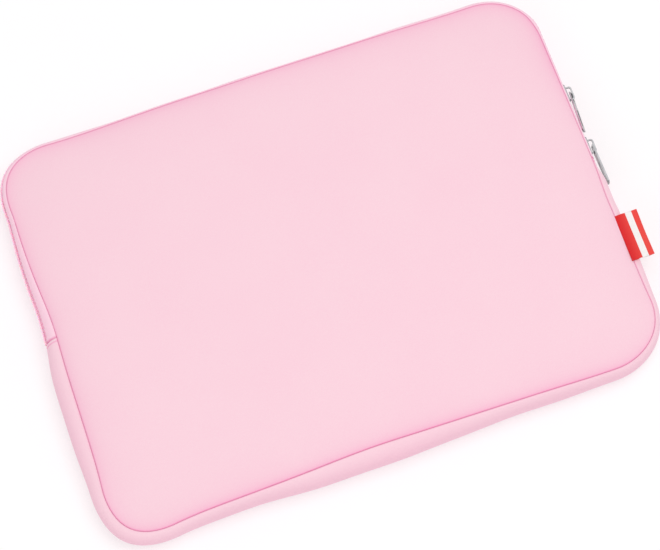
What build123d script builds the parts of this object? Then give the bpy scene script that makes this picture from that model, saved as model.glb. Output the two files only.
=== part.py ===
"""A padded laptop sleeve with a two-slider zip, lying on its back.

The sleeve is a front panel and a back panel of foam-backed fabric, joined by a gusset that bulges outward.
A coil zip runs round the upper half of the gusset, from the middle of one short side to the middle of the other.

Frame, in millimetres: +Z up out of the front panel, +Y towards the edge that opens, +X towards the label.
The origin is the middle of the back panel's flat face, which the sleeve rests on.
"""
from build123d import *
from math import asin, atan2, cos, degrees, sin
import os

# Panels: the outline is the sewn seam between a panel and the gusset
SEAM_WIDTH = 338.0
SEAM_DEPTH = 246.0
CORNER_RADIUS = 34.0
THICKNESS = 27.0
CROWN = 3.5
CROWN_WIDTH = 10.0
PANEL_THICKNESS = 3.5
RIM_WIDTH = 3.0
LINING_THICKNESS = 1.0
LINING_INSET = 6.2
GAP = 0.05

# Gusset and zip band sections: arcs between the two seams, each standing out by its bulge
GUSSET_BULGE = 4.5
ZIP_BULGE = 2.4
GUSSET_THICKNESS = 3.5
MID_HEIGHT = THICKNESS / 2
SEAM_HALF_HEIGHT = MID_HEIGHT - CROWN

# Zip: depths are inward from the band's outer face, offsets are up and down from the mid-plane
ZIP_END_Y = 5.0
STRIP_THICKNESS = 1.8
STRIP_EDGE_OFFSET = 5.4
TAPE_DEPTH = STRIP_THICKNESS + 0.08
TAPE_THICKNESS = 0.5
TAPE_INNER_OFFSET = 0.65
TAPE_OUTER_OFFSET = 6.0
COIL_HEIGHT = 1.5
COIL_INNER_OFFSET = 0.65
COIL_OUTER_OFFSET = 2.8
COIL_BASE = ZIP_BULGE - TAPE_DEPTH + GAP

# Bindings that wrap the cut edges of the panels and gusset inside the sleeve
BINDING_WIDTH = 4.6
BINDING_HEIGHT = 4.0
BINDING_INSET = 3.9

# Fold line of the mouth: a line across the front panel from the left side to the right side
FOLD_LEFT_Y = 20.0
FOLD_RIGHT_Y = 98.0
FOLD_SPAN = SEAM_WIDTH + 2 * GUSSET_BULGE

# Sliders and pulls: heights are measured outward from the seam line of the right-hand side
UPPER_SLIDER_Y = 52.5
LOWER_SLIDER_Y = 16.0
SLIDER_LENGTH = 12.0
SLIDER_HEAD_WIDTH = 7.8
SLIDER_TAIL_WIDTH = 7.0
WING_THICKNESS = 0.9
TOP_WING_HEIGHT = COIL_BASE + COIL_HEIGHT + 0.25
BOTTOM_WING_HEIGHT = -1.3
FLANGE_THICKNESS = 0.6
FLANGE_DEPTH = 1.5
DIVIDER_RADIUS = 0.48
DIVIDER_OFFSET = 4.4
CROWN_LENGTH = 9.0
CROWN_PLATE_WIDTH = 1.3
CROWN_BAR = 0.8
CROWN_OPENING = 3.0
PULL_LENGTH = 26.0
PULL_WIDTH = 6.4
PULL_HEAD_WIDTH = 4.8
PULL_THICKNESS = 1.0
PULL_EYE_WIDTH = 3.0
PULL_EYE_LENGTH = 5.5
PULL_SLOT_WIDTH = 2.8
PULL_SLOT_LENGTH = 11.0
UPPER_PULL_TWIST = 20.0
UPPER_PULL_LIFT = -3.0
LOWER_PULL_LIFT = 1.0
PULL_PLAY = 0.32
PIVOT_HEIGHT = TOP_WING_HEIGHT + WING_THICKNESS + GAP + CROWN_OPENING - PULL_THICKNESS / 2 - PULL_PLAY

# Woven label in the right-hand front seam
LABEL_LENGTH = 29.5
LABEL_REACH = 13.0
LABEL_Y = -49.0
LABEL_THICKNESS = 0.8

FAR = 600.0


def save(shape, name):
    """Writes one sub-part as parts/name.step."""
    shape.label = name
    export_step(shape, f"parts/{name}.step")


def outline(inset, height):
    """The seam outline, moved inward by inset, as a face at a height."""
    return Pos(0, 0, height) * RectangleRounded(
        SEAM_WIDTH - 2 * inset, SEAM_DEPTH - 2 * inset, CORNER_RADIUS - inset
    )


def dome(inset, drop):
    """Solid under a crowned face: flat in the middle, sloping down towards the seam, lowered by drop."""
    slope = CROWN / CROWN_WIDTH
    wall_top = THICKNESS - CROWN - drop + slope * inset
    wall = extrude(outline(inset, MID_HEIGHT), amount=wall_top - MID_HEIGHT)
    cap = loft([outline(inset, wall_top), outline(CROWN_WIDTH, THICKNESS - drop)], ruled=True)
    return wall + cap


def above(height):
    """Everything above a height."""
    return Pos(0, 0, height + FAR / 2) * Box(2 * FAR, 2 * FAR, FAR)


def beyond_zip_ends(upper):
    """Everything on the zip's side of the zip ends, or on the plain gusset's side."""
    side = 1 if upper else -1
    return Pos(0, ZIP_END_Y + side * (FAR / 2 + GAP), 0) * Box(2 * FAR, FAR, FAR)


def fold_side(flap):
    """Everything on the flap's side of the mouth's fold line, or on the sleeve's side."""
    side = 1 if flap else -1
    angle = degrees(atan2(FOLD_RIGHT_Y - FOLD_LEFT_Y, FOLD_SPAN))
    fold = Pos(0, (FOLD_LEFT_Y + FOLD_RIGHT_Y) / 2, 0) * Rot(0, 0, angle)
    return fold * Pos(0, side * (FAR / 2 + GAP), 0) * Box(2 * FAR, FAR, FAR)


def back_copy(shape):
    """The same shape on the back half of the sleeve."""
    return mirror(shape, Plane.XY.offset(MID_HEIGHT))


def arc_band(bulge, depth, thickness, low, high):
    """Section of a layer that follows the band's arc, between two heights about the mid-plane.

    The arc runs through both seams and stands out by bulge; the layer lies depth inward from it.
    """
    radius = (SEAM_HALF_HEIGHT**2 + bulge**2) / (2 * bulge)
    centre = bulge - radius

    def at(inward, height):
        angle = asin(height / radius)
        reach = radius - inward
        return (centre + reach * cos(angle), MID_HEIGHT + reach * sin(angle))

    outer = (at(depth, low), at(depth, (low + high) / 2), at(depth, high))
    inner = (at(depth + thickness, high), at(depth + thickness, (low + high) / 2), at(depth + thickness, low))
    return make_face([
        ThreePointArc(*outer),
        Line(outer[2], inner[0]),
        ThreePointArc(*inner),
        Line(inner[2], outer[0]),
    ])


def outside_seam(section):
    """Trims a section to the part outward of the seam line."""
    return section & Pos(FAR / 2 + GAP, 0) * Rectangle(FAR, FAR)


def ring(section):
    """Carries a section, drawn as (outward from the seam, height), once round the seam outline."""
    half_x = SEAM_WIDTH / 2
    half_y = SEAM_DEPTH / 2
    run_x = half_x - CORNER_RADIUS
    run_y = half_y - CORNER_RADIUS
    right_plane = Plane(origin=(half_x, -run_y, 0), x_dir=(1, 0, 0), z_dir=(0, -1, 0))
    top_plane = Plane(origin=(-run_x, half_y, 0), x_dir=(0, 1, 0), z_dir=(1, 0, 0))
    corner_plane = Plane(origin=(half_x, run_y, 0), x_dir=(1, 0, 0), z_dir=(0, -1, 0))
    right = extrude(right_plane * section, amount=-2 * run_y)
    top = extrude(top_plane * section, amount=2 * run_x)
    corner = revolve(corner_plane * section, Axis((run_x, run_y, 0), (0, 0, 1)), 90)
    upper_right = right + corner + top
    return upper_right + Rot(0, 0, 180) * upper_right + mirror(corner, Plane.YZ) + mirror(corner, Plane.XZ)


def front_panel():
    """Foam-backed front panel, a shallow tray with a crowned face."""
    rim_bottom = THICKNESS - CROWN - PANEL_THICKNESS
    return (dome(GAP, 0) - dome(RIM_WIDTH, PANEL_THICKNESS)) & above(rim_bottom)


def front_lining():
    """Soft lining glued under the front panel."""
    drop = PANEL_THICKNESS + GAP
    skirt = THICKNESS - CROWN - PANEL_THICKNESS + LINING_THICKNESS
    inner = dome(LINING_INSET + LINING_THICKNESS, drop + LINING_THICKNESS)
    return (dome(LINING_INSET, drop) - inner) & above(skirt)


def front_binding():
    """Bias tape that wraps the cut edges inside the front seam."""
    top = THICKNESS - CROWN - PANEL_THICKNESS - 2 * GAP
    section = Pos(-BINDING_INSET, top - BINDING_HEIGHT / 2) * RectangleRounded(
        BINDING_WIDTH, BINDING_HEIGHT, BINDING_HEIGHT / 3
    )
    return ring(section)


def gusset():
    """Plain foam-backed band round the lower half of the sleeve."""
    section = arc_band(GUSSET_BULGE, 0, GUSSET_THICKNESS, -SEAM_HALF_HEIGHT, SEAM_HALF_HEIGHT)
    return ring(outside_seam(section)) & beyond_zip_ends(False)


def zip_strip():
    """Fabric strip between the front seam and the zip."""
    section = arc_band(ZIP_BULGE, 0, STRIP_THICKNESS, STRIP_EDGE_OFFSET, SEAM_HALF_HEIGHT)
    return ring(outside_seam(section)) & beyond_zip_ends(True)


def zip_tape():
    """Woven tape that carries the front half of the coil, under the strip."""
    section = arc_band(ZIP_BULGE, TAPE_DEPTH, TAPE_THICKNESS, TAPE_INNER_OFFSET, TAPE_OUTER_OFFSET)
    return ring(section) & beyond_zip_ends(True)


def coil():
    """Front half of the coil, as the envelope of its turns."""
    depth = ZIP_BULGE - COIL_BASE - COIL_HEIGHT
    section = arc_band(ZIP_BULGE, depth, COIL_HEIGHT, COIL_INNER_OFFSET, COIL_OUTER_OFFSET)
    return ring(section) & beyond_zip_ends(True)


def wing_outline():
    """Outline of a slider wing, wide at its head and narrower at its tail; x is along the zip."""
    half = SLIDER_LENGTH / 2
    corners = [
        (half, SLIDER_HEAD_WIDTH / 2),
        (half, -SLIDER_HEAD_WIDTH / 2),
        (-half, -SLIDER_TAIL_WIDTH / 2),
        (-half, SLIDER_TAIL_WIDTH / 2),
    ]
    return make_face(Polyline(*corners, close=True))


def slider_body():
    """Cast slider: two wings joined by a divider, with flanges that hold both halves of the coil.

    It is built with its head towards +Y, the zip's middle at the origin and the wings facing +X.
    """
    along_zip = Plane(origin=(0, 0, 0), x_dir=(0, 1, 0), z_dir=(1, 0, 0))
    plate = extrude(along_zip * wing_outline(), amount=WING_THICKNESS)
    plate = fillet(plate.edges().filter_by(Axis.X), 1.6)
    top = Pos(TOP_WING_HEIGHT, 0, 0) * plate
    bottom = Pos(BOTTOM_WING_HEIGHT, 0, 0) * plate
    shape = fillet(top.edges().filter_by(GeomType.LINE).group_by(Axis.X)[-1], 0.35) + bottom
    span = TOP_WING_HEIGHT - BOTTOM_WING_HEIGHT
    divider = Pos(BOTTOM_WING_HEIGHT + span / 2, DIVIDER_OFFSET, 0) * Rot(0, 90, 0) * Cylinder(DIVIDER_RADIUS, span)
    shape += divider
    flange_x = TOP_WING_HEIGHT - FLANGE_DEPTH / 2 + WING_THICKNESS / 4
    flange_z = SLIDER_TAIL_WIDTH / 2 - FLANGE_THICKNESS / 2
    flange = Box(FLANGE_DEPTH + WING_THICKNESS / 2, SLIDER_LENGTH - 3.6, FLANGE_THICKNESS)
    for side in (-1, 1):
        shape += Pos(flange_x, 0, side * flange_z) * flange
    return shape


def slider_crown():
    """Arched bridge on the slider's upper wing, which the pull's bar passes under."""
    base = TOP_WING_HEIGHT + WING_THICKNESS + GAP
    height = CROWN_OPENING + CROWN_BAR
    block = Pos(base + height / 2, 0, 0) * Box(height, CROWN_LENGTH, CROWN_PLATE_WIDTH)
    block = fillet(block.edges().filter_by(Axis.Z).group_by(Axis.X)[-1], 1.6)
    opening = Pos(base + CROWN_OPENING / 2, 0, 0) * Box(
        CROWN_OPENING, CROWN_LENGTH - 2 * CROWN_BAR, CROWN_PLATE_WIDTH
    )
    opening = fillet(opening.edges().filter_by(Axis.Z).group_by(Axis.X)[-1], 1.0)
    return block - opening


def pull_tab():
    """Pull with an eye round the crown, its bar on the Z axis at the origin, hanging towards -Y."""
    half_head = PULL_HEAD_WIDTH / 2
    half_width = PULL_WIDTH / 2
    shoulder = PULL_EYE_LENGTH + 2.5
    face = make_face(Polyline(
        (0, half_head), (-shoulder, half_width), (-PULL_LENGTH, half_width),
        (-PULL_LENGTH, -half_width), (-shoulder, -half_width), (0, -half_head), close=True,
    ))
    along_zip = Plane(origin=(-PULL_THICKNESS / 2, 0, 0), x_dir=(0, 1, 0), z_dir=(1, 0, 0))
    plate = extrude(along_zip * face, amount=PULL_THICKNESS)
    plate = fillet(plate.edges().filter_by(Axis.X).group_by(Axis.Y)[0], 1.8)
    plate += Cylinder(PULL_THICKNESS / 2, PULL_HEAD_WIDTH)
    eye = Pos(0, -PULL_THICKNESS / 2 - PULL_EYE_LENGTH / 2, 0) * Box(
        PULL_THICKNESS, PULL_EYE_LENGTH, PULL_EYE_WIDTH
    )
    slot_middle = -(shoulder + PULL_LENGTH) / 2
    slot = Plane(origin=(-PULL_THICKNESS / 2, slot_middle, 0), x_dir=(0, 1, 0), z_dir=(1, 0, 0)) * (
        SlotOverall(PULL_SLOT_LENGTH, PULL_SLOT_WIDTH)
    )
    return plate - eye - extrude(slot, amount=PULL_THICKNESS)


def woven_label():
    """Woven ribbon, folded once at its outer edge and caught in the front seam."""
    plate = Pos(LABEL_REACH / 2, 0, 0) * Box(LABEL_REACH, LABEL_LENGTH, LABEL_THICKNESS)
    plate = fillet(plate.edges().filter_by(Axis.Y).group_by(Axis.X)[-1], LABEL_THICKNESS * 0.45)
    seam_height = THICKNESS - CROWN
    return Pos(SEAM_WIDTH / 2, LABEL_Y, seam_height + LABEL_THICKNESS / 2 + 2 * GAP) * plate


def build_panels_and_bands():
    """The back half whole, and the front half cut at the mouth's fold line."""
    front_pieces = {
        "front_panel": front_panel(),
        "front_lining": front_lining(),
        "front_seam_binding": front_binding(),
        "front_zip_strip": zip_strip(),
        "front_zip_tape": zip_tape(),
        "front_zip_coil": coil(),
    }
    for name, shape in front_pieces.items():
        save(back_copy(shape), name.replace("front_", "back_"))
        save(shape & fold_side(False), name + "_lower")
        save(shape & fold_side(True), name + "_upper")
    save(gusset(), "bottom_gusset")
    save(woven_label(), "woven_label")


def build_slider(name, y, head_up, twist, lift):
    """One slider with its crown and pull, at its place on the right-hand side of the zip."""
    place = Pos(SEAM_WIDTH / 2, y, MID_HEIGHT)
    turn = Rot(0, 0, 0) if head_up else Rot(180, 0, 0)
    save(place * turn * slider_body(), f"{name}_slider_body")
    save(place * slider_crown(), f"{name}_slider_crown")
    hang = Pos(PIVOT_HEIGHT, 0, 0) * Rot(0, twist, 0) * Rot(0, 0, lift)
    save(place * hang * pull_tab(), f"{name}_pull_tab")


os.makedirs("parts", exist_ok=True)
build_panels_and_bands()
build_slider("upper", UPPER_SLIDER_Y, head_up=False, twist=-UPPER_PULL_TWIST, lift=UPPER_PULL_LIFT)
build_slider("lower", LOWER_SLIDER_Y, head_up=True, twist=0, lift=LOWER_PULL_LIFT)
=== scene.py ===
import bmesh
import bpy
import numpy as np
from mathutils import Matrix, Vector


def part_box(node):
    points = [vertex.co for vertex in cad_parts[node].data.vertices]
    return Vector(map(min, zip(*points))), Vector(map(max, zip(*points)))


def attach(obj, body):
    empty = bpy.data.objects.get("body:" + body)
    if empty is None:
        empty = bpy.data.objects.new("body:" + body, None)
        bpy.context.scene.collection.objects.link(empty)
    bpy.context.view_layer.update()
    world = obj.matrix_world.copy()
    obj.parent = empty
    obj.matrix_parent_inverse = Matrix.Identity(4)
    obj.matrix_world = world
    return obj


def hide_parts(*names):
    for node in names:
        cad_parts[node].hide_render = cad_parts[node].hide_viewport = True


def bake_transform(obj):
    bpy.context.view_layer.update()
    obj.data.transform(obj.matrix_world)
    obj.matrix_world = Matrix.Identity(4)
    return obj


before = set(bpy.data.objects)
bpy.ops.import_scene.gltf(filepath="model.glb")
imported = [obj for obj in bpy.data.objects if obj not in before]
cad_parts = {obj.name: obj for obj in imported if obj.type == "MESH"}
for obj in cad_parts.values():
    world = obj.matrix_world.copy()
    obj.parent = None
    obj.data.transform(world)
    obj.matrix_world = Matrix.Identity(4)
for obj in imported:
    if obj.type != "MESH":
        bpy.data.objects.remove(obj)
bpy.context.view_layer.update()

# Looks for the laptop sleeve: soft panels, side band, coil zip, sliders and label round the fixed frame.
# Lengths are in millimetres, in the frame's own axes, and become metres when a mesh is made.

MM = 0.001


def box_mm(node):
    """A CAD node's lowest and highest corners, in millimetres."""
    low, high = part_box(node)
    return np.array(low) / MM, np.array(high) / MM


# Seam outline, from the back panel and the corner it was drawn with
HALF_X, HALF_Y = box_mm("back_panel")[1][:2]
CORNER = 34.0
RUN_X = HALF_X - CORNER
RUN_Y = HALF_Y - CORNER
ZIP_END_Y = box_mm("back_zip_strip")[0][1]
MID_Z = box_mm("bottom_gusset")[1][2] - (box_mm("bottom_gusset")[1][2] - box_mm("bottom_gusset")[0][2]) / 2

# Heights of the soft body
CORNER_SEAM_Z = 19.6
LONG_ARCH = 6.9
SHORT_ARCH = 4.8
TOP_Z = 29.0
TOP_CORNER_DROP = 8.0
PANEL_THICKNESS = 3.5
PANEL_ROLL = 0.6
GUSSET_ROLL = 0.6
STRIP_ROLL = 0.45

# Cloth simulation of the front panel
CLOTH_CELLS_X = 84
CLOTH_CELLS_Y = 62
CLOTH_FRAMES = 20
SEWN_WIDTH = 6.0
FOAM_PRESSURE = 0.5
CLOTH_CAP = 1.8

# Side band
GUSSET_THICKNESS = 3.5
STRIP_THICKNESS = 1.8
STRIP_EDGE_Z = 4.6
TAPE_DEPTH = 1.9
TAPE_THICKNESS = 0.5
COIL_PROUD = 1.1

# The plain band's folded ends
HEM_WIDTH = 2.0
HEM_GROOVE = 0.4

# Zip
COIL_PITCH = 1.25
COIL_WIRE = 0.33
PARTED_FROM = 0.95
PARTED_SHARE = 0.5
STITCH_PITCH = 2.7
STITCH_LENGTH = 2.1
THREAD_RADIUS = 0.19

# Woven label
LABEL_BEND = 0.34
LABEL_NOSE = 0.9
LABEL_STRIPE = (0.42, 0.74)
RIBBON_THICKNESS = 0.24

# The body that the sleeve's pieces are attached to
BODY = "sleeve"


# ---------------------------------------------------------------- outline and heights

def arc_table():
    """Seam outline clockwise from the left zip end: arc length, position and outward normal."""
    points = []
    normals = []

    def straight(x0, y0, x1, y1, normal):
        count = max(2, int(np.hypot(x1 - x0, y1 - y0) / 0.25))
        for k in range(count):
            points.append((x0 + (x1 - x0) * k / count, y0 + (y1 - y0) * k / count))
            normals.append(normal)

    def corner(cx, cy, start):
        count = int(CORNER * np.pi / 2 / 0.25)
        for k in range(count):
            angle = np.radians(start - 90 * k / count)
            direction = (np.cos(angle), np.sin(angle))
            points.append((cx + CORNER * direction[0], cy + CORNER * direction[1]))
            normals.append(direction)

    straight(-HALF_X, ZIP_END_Y, -HALF_X, RUN_Y, (-1, 0))
    corner(-RUN_X, RUN_Y, 180)
    straight(-RUN_X, HALF_Y, RUN_X, HALF_Y, (0, 1))
    corner(RUN_X, RUN_Y, 90)
    straight(HALF_X, RUN_Y, HALF_X, -RUN_Y, (1, 0))
    corner(RUN_X, -RUN_Y, 0)
    straight(RUN_X, -HALF_Y, -RUN_X, -HALF_Y, (0, -1))
    corner(-RUN_X, -RUN_Y, -90)
    straight(-HALF_X, -RUN_Y, -HALF_X, ZIP_END_Y, (-1, 0))
    points.append(points[0])
    normals.append(normals[0])
    points = np.array(points, float)
    normals = np.array(normals, float)
    steps = np.hypot(*np.diff(points, axis=0).T)
    return np.concatenate([[0], np.cumsum(steps)]), points, normals


ARC, ARC_POINTS, ARC_NORMALS = arc_table()
LOOP = ARC[-1]
ZIP_LENGTH = LOOP / 2 - 2 * ZIP_END_Y


def rim(s):
    """Position and outward normal on the seam outline at arc length s."""
    s = np.mod(s, LOOP)
    point = np.stack([np.interp(s, ARC, ARC_POINTS[:, k]) for k in (0, 1)], axis=-1)
    normal = np.stack([np.interp(s, ARC, ARC_NORMALS[:, k]) for k in (0, 1)], axis=-1)
    return point, normal / np.linalg.norm(normal, axis=-1, keepdims=True)


def cornerness(x, y):
    """1 at the middle of a rounded corner, falling to 0 towards the middles of the edges."""
    return np.clip(np.abs(x * y) / (HALF_X * HALF_Y) / 0.865, 0, 1.1) ** 3


def front_seam_z(x, y):
    """Height of the fabric at the front seam, arched in the middle of each edge."""
    ex = np.clip(np.abs(x) / HALF_X, 0, 1)
    ey = np.clip(np.abs(y) / HALF_Y, 0, 1)
    ripple = 0.25 * np.sin(x / 23.0 + 0.6) * np.cos(y / 31.0) + 0.18 * np.sin(x / 11.0 + y / 17.0)
    return CORNER_SEAM_Z + LONG_ARCH * (1 - ex**2) * ey**6 + SHORT_ARCH * (1 - ey**2) * ex**6 + ripple


def middle_z(x, y):
    """Height of the side band's mid-line, where the two halves of the zip meet.

    It dips at the corners, but stays level along the straight run of the sliders.
    """
    ex = np.clip(np.abs(x) / HALF_X, 0, 1)
    ey = np.clip(np.abs(y) / HALF_Y, 0, 1)
    past_run = np.clip((y - RUN_Y) / 24.0, 0, 1)
    dip = np.where((x > 0) & (y > 0), past_run**2 * (3 - 2 * past_run), 1.0)
    return MID_Z + 1.0 * (1 - ex**2) * ey**6 - 1.3 * cornerness(x, y) * dip


def back_seam_z(x, y):
    """Height of the fabric at the back seam."""
    return np.maximum(2 * middle_z(x, y) - front_seam_z(x, y), 1.5)


def slack_top_z(x, y):
    """Height of the front panel's crown before the cloth has settled."""
    hollow = 0.35 * np.sin(x / 61.0 + 1.0) * np.cos(y / 47.0 - 0.4) + 0.2 * np.sin(x / 33.0 - y / 41.0)
    return TOP_Z - TOP_CORNER_DROP * cornerness(x, y) + hollow


def inside_outline(x, y):
    """Distance of points inside the seam outline, negative outside it."""
    out_x = np.abs(x) - RUN_X
    out_y = np.abs(y) - RUN_Y
    round_part = CORNER - np.hypot(np.clip(out_x, 0, None), np.clip(out_y, 0, None))
    return np.where((out_x > 0) | (out_y > 0), round_part, CORNER)


def settle_front_cloth():
    """Cloth simulation of the front panel: a sheet held along its seam and pushed up by the foam under it.

    Gives how far the settled cloth stands above its slack shape, on a regular grid over the panel.
    """
    across = np.linspace(-HALF_X, HALF_X, CLOTH_CELLS_X + 1)
    along = np.linspace(-HALF_Y, HALF_Y, CLOTH_CELLS_Y + 1)
    x, y = np.meshgrid(across, along, indexing="ij")
    slack = slack_top_z(x, y)
    mesh = bpy.data.meshes.new("settling_cloth")
    vertices = np.stack([x, y, slack], axis=-1).reshape(-1, 3) * MM
    mesh.from_pydata(vertices.tolist(), [], loft_faces(*x.shape, closed_columns=False, caps=False))
    sheet_object = bpy.data.objects.new("settling_cloth", mesh)
    bpy.context.scene.collection.objects.link(sheet_object)
    held = sheet_object.vertex_groups.new(name="sewn")
    grip = np.clip(1 - (inside_outline(x, y) - SEWN_WIDTH) / SEWN_WIDTH, 0, 1).ravel()
    for index in np.flatnonzero(grip > 0):
        held.add([int(index)], float(grip[index]), "REPLACE")
    cloth = sheet_object.modifiers.new("cloth", "CLOTH")
    settings = cloth.settings
    settings.quality = 6
    settings.mass = 0.25
    settings.tension_stiffness = 12
    settings.compression_stiffness = 12
    settings.shear_stiffness = 6
    settings.bending_stiffness = 1.5
    settings.vertex_group_mass = "sewn"
    settings.use_pressure = True
    settings.uniform_pressure_force = FOAM_PRESSURE
    settings.effector_weights.gravity = 0.0
    cloth.collision_settings.use_collision = False
    scene = bpy.context.scene
    for step in range(1, CLOTH_FRAMES + 1):
        scene.frame_set(step)
    settled = sheet_object.evaluated_get(bpy.context.evaluated_depsgraph_get()).to_mesh()
    height = np.empty(len(settled.vertices) * 3)
    settled.vertices.foreach_get("co", height)
    lift = height.reshape(-1, 3)[:, 2].reshape(x.shape) / MM - slack
    scene.frame_set(1)
    bpy.data.objects.remove(sheet_object)
    bpy.data.meshes.remove(mesh)
    return across, along, np.clip(np.abs(lift), 0, CLOTH_CAP) * np.sign(lift)


def cloth_lift(x, y):
    """The settled cloth's height above its slack shape, at any point of the panel."""
    across, along, lift = SETTLED
    column = np.clip((x - across[0]) / (across[1] - across[0]), 0, len(across) - 1.001)
    row = np.clip((y - along[0]) / (along[1] - along[0]), 0, len(along) - 1.001)
    i, j = column.astype(int), row.astype(int)
    u, v = column - i, row - j
    near = lift[i, j] * (1 - v) + lift[i, j + 1] * v
    far = lift[i + 1, j] * (1 - v) + lift[i + 1, j + 1] * v
    return near * (1 - u) + far * u


def top_z(x, y):
    """Height of the front panel's soft crown, away from its seam."""
    return slack_top_z(x, y) + cloth_lift(x, y)


# Where the foam pulls the sewn outline off its pattern: (edge, centre, reach, inward) and (corner x, y, pull x, y)
EDGE_BOWS = (
    ("left", 15.0, 25.0, 1.5),
    ("left", -20.0, 75.0, 1.5),
    ("left", 90.0, 15.0, 1.0),
    ("front", -15.0, 30.0, 1.0),
    ("front", 15.0, 105.0, 2.0),
    ("right", -15.0, 30.0, 1.0),
)
CORNER_PULLS = (
    (-1, -1, -3.0, -4.0),
    (-1, 1, -2.0, 3.0),
    (1, 1, 1.5, 1.5),
    (1, -1, 2.0, 1.5),
)
PULL_REACH = 17.0


def drape(x, y):
    """Moves points of the soft body to where the sewn outline really lies, but not along the sliders' run."""
    shift_x = np.zeros_like(x)
    shift_y = np.zeros_like(y)
    for edge, centre, reach, inward in EDGE_BOWS:
        if edge == "front":
            near = np.clip(-y / HALF_Y, 0, 1.1) ** 6
            shift_y = shift_y + inward * near * np.exp(-(((x - centre) / reach) ** 2))
        else:
            side = -1 if edge == "left" else 1
            near = np.clip(side * x / HALF_X, 0, 1.1) ** 8
            shift_x = shift_x - side * inward * near * np.exp(-(((y - centre) / reach) ** 2))
    for cx, cy, pull_x, pull_y in CORNER_PULLS:
        middle_x = cx * (RUN_X + CORNER * 0.72)
        middle_y = cy * (RUN_Y + CORNER * 0.72)
        near = np.exp(-((x - middle_x) ** 2 + (y - middle_y) ** 2) / (2 * PULL_REACH**2))
        shift_x = shift_x + pull_x * near
        shift_y = shift_y + pull_y * near
    run = np.clip((y + 26.0) / 30.0, 0, 1) * np.clip((108.0 - y) / 22.0, 0, 1)
    held = np.clip((x / HALF_X - 0.8) / 0.12, 0, 1) * run
    keep = 1 - held**2 * (3 - 2 * held)
    return x + shift_x * keep, y + shift_y * keep


def roll(distance, radius):
    """How far the fabric has dropped into the seam, at a distance from it."""
    inside = np.clip(1 - distance / radius, 0, 1)
    return radius * (1 - np.sqrt(1 - inside**2))


def rise(distance, reach):
    """0 at the seam to 1 at the panel's flat part."""
    return (1 - np.exp(-distance / reach)) / (1 - np.exp(-CORNER / reach))


# ---------------------------------------------------------------- mesh helpers

def face_outward(mesh):
    """Turns every face of a closed mesh to face outward."""
    work = bmesh.new()
    work.from_mesh(mesh)
    bmesh.ops.recalc_face_normals(work, faces=work.faces)
    work.to_mesh(mesh)
    work.free()


def make_piece(name, vertices, faces, material, slot, soft=True, fold=False, hides=(), depth=None):
    """A smooth mesh piece on the sleeve's body, or, for a fold piece, left loose with its transform baked in."""
    mesh = bpy.data.meshes.new(name)
    vertices = np.array(vertices, float)
    if soft:
        vertices[:, 0], vertices[:, 1] = drape(vertices[:, 0], vertices[:, 1])
    mesh.from_pydata((vertices * MM).tolist(), [], faces)
    face_outward(mesh)
    mesh.polygons.foreach_set("use_smooth", [True] * len(mesh.polygons))
    # depth: painted shade per vertex, deeper colour where shade falls, kept as a mesh attribute for the jersey.
    if depth is not None:
        layer = mesh.attributes.new("painted_shade", "FLOAT", "POINT")
        layer.data.foreach_set("value", np.asarray(depth, np.float32))
    mesh.materials.append(material)
    piece = bpy.data.objects.new(name, mesh)
    bpy.context.scene.collection.objects.link(piece)
    if fold:
        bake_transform(piece)
    else:
        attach(piece, BODY)
    if hides:
        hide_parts(*hides)
    return piece


def loft_faces(rows, columns, closed_rows=False, closed_columns=True, caps=True, first=0):
    """Quads over a grid of vertices, row by row, with end caps on an open run of closed rows."""
    faces = []
    for i in range(rows if closed_rows else rows - 1):
        for j in range(columns if closed_columns else columns - 1):
            a = first + i * columns + j
            b = first + i * columns + (j + 1) % columns
            c = first + ((i + 1) % rows) * columns + (j + 1) % columns
            d = first + ((i + 1) % rows) * columns + j
            faces.append((a, d, c, b))
    if caps and not closed_rows:
        faces.append(tuple(first + j for j in range(columns)))
        last = first + (rows - 1) * columns
        faces.append(tuple(last + j for j in reversed(range(columns))))
    return faces


def sweep(stations, section, closed=False):
    """Carries a closed section round the outline: section(x, y) gives (outward, height) for each corner."""
    point, normal = rim(stations)
    outward, height = section(point[:, 0], point[:, 1], stations)
    x = point[:, :1] + normal[:, :1] * outward
    y = point[:, 1:] + normal[:, 1:] * outward
    vertices = np.stack([x, y, height], axis=-1)
    rows, columns = height.shape
    return vertices.reshape(-1, 3), loft_faces(rows, columns, closed_rows=closed)


def tube(path, radii, sides=6, across=None):
    """Vertices and faces of a round tube along a short path, with flat caps; across fixes the ring's plane."""
    path = np.asarray(path, float)
    tangent = np.gradient(path, axis=0)
    tangent /= np.linalg.norm(tangent, axis=1, keepdims=True)
    side = np.asarray(across, float)
    side = np.broadcast_to(side / np.linalg.norm(side), path.shape)
    up = np.cross(tangent, side)
    up /= np.linalg.norm(up, axis=1, keepdims=True)
    turn = np.arange(sides) * 2 * np.pi / sides
    radii = np.broadcast_to(np.asarray(radii, float), (len(path),))
    rings = path[:, None] + radii[:, None, None] * (
        np.cos(turn)[None, :, None] * side[:, None] + np.sin(turn)[None, :, None] * up[:, None]
    )
    return rings.reshape(-1, 3), loft_faces(len(path), sides)


class Batch:
    """Collects many small closed shapes into one mesh."""

    def __init__(self):
        self.vertices = []
        self.faces = []
        self.count = 0

    def add(self, vertices, faces):
        self.vertices.append(vertices)
        self.faces.extend(tuple(v + self.count for v in face) for face in faces)
        self.count += len(vertices)

    def piece(self, name, material, slot, **options):
        return make_piece(name, np.concatenate(self.vertices), self.faces, material, slot, **options)


# ---------------------------------------------------------------- materials

def srgb(red, green, blue):
    """Linear colour from 8-bit screen values."""
    c = np.array([red, green, blue]) / 255
    linear = np.where(c <= 0.04045, c / 12.92, ((c + 0.055) / 1.055) ** 2.4)
    return (*linear, 1.0)


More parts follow.
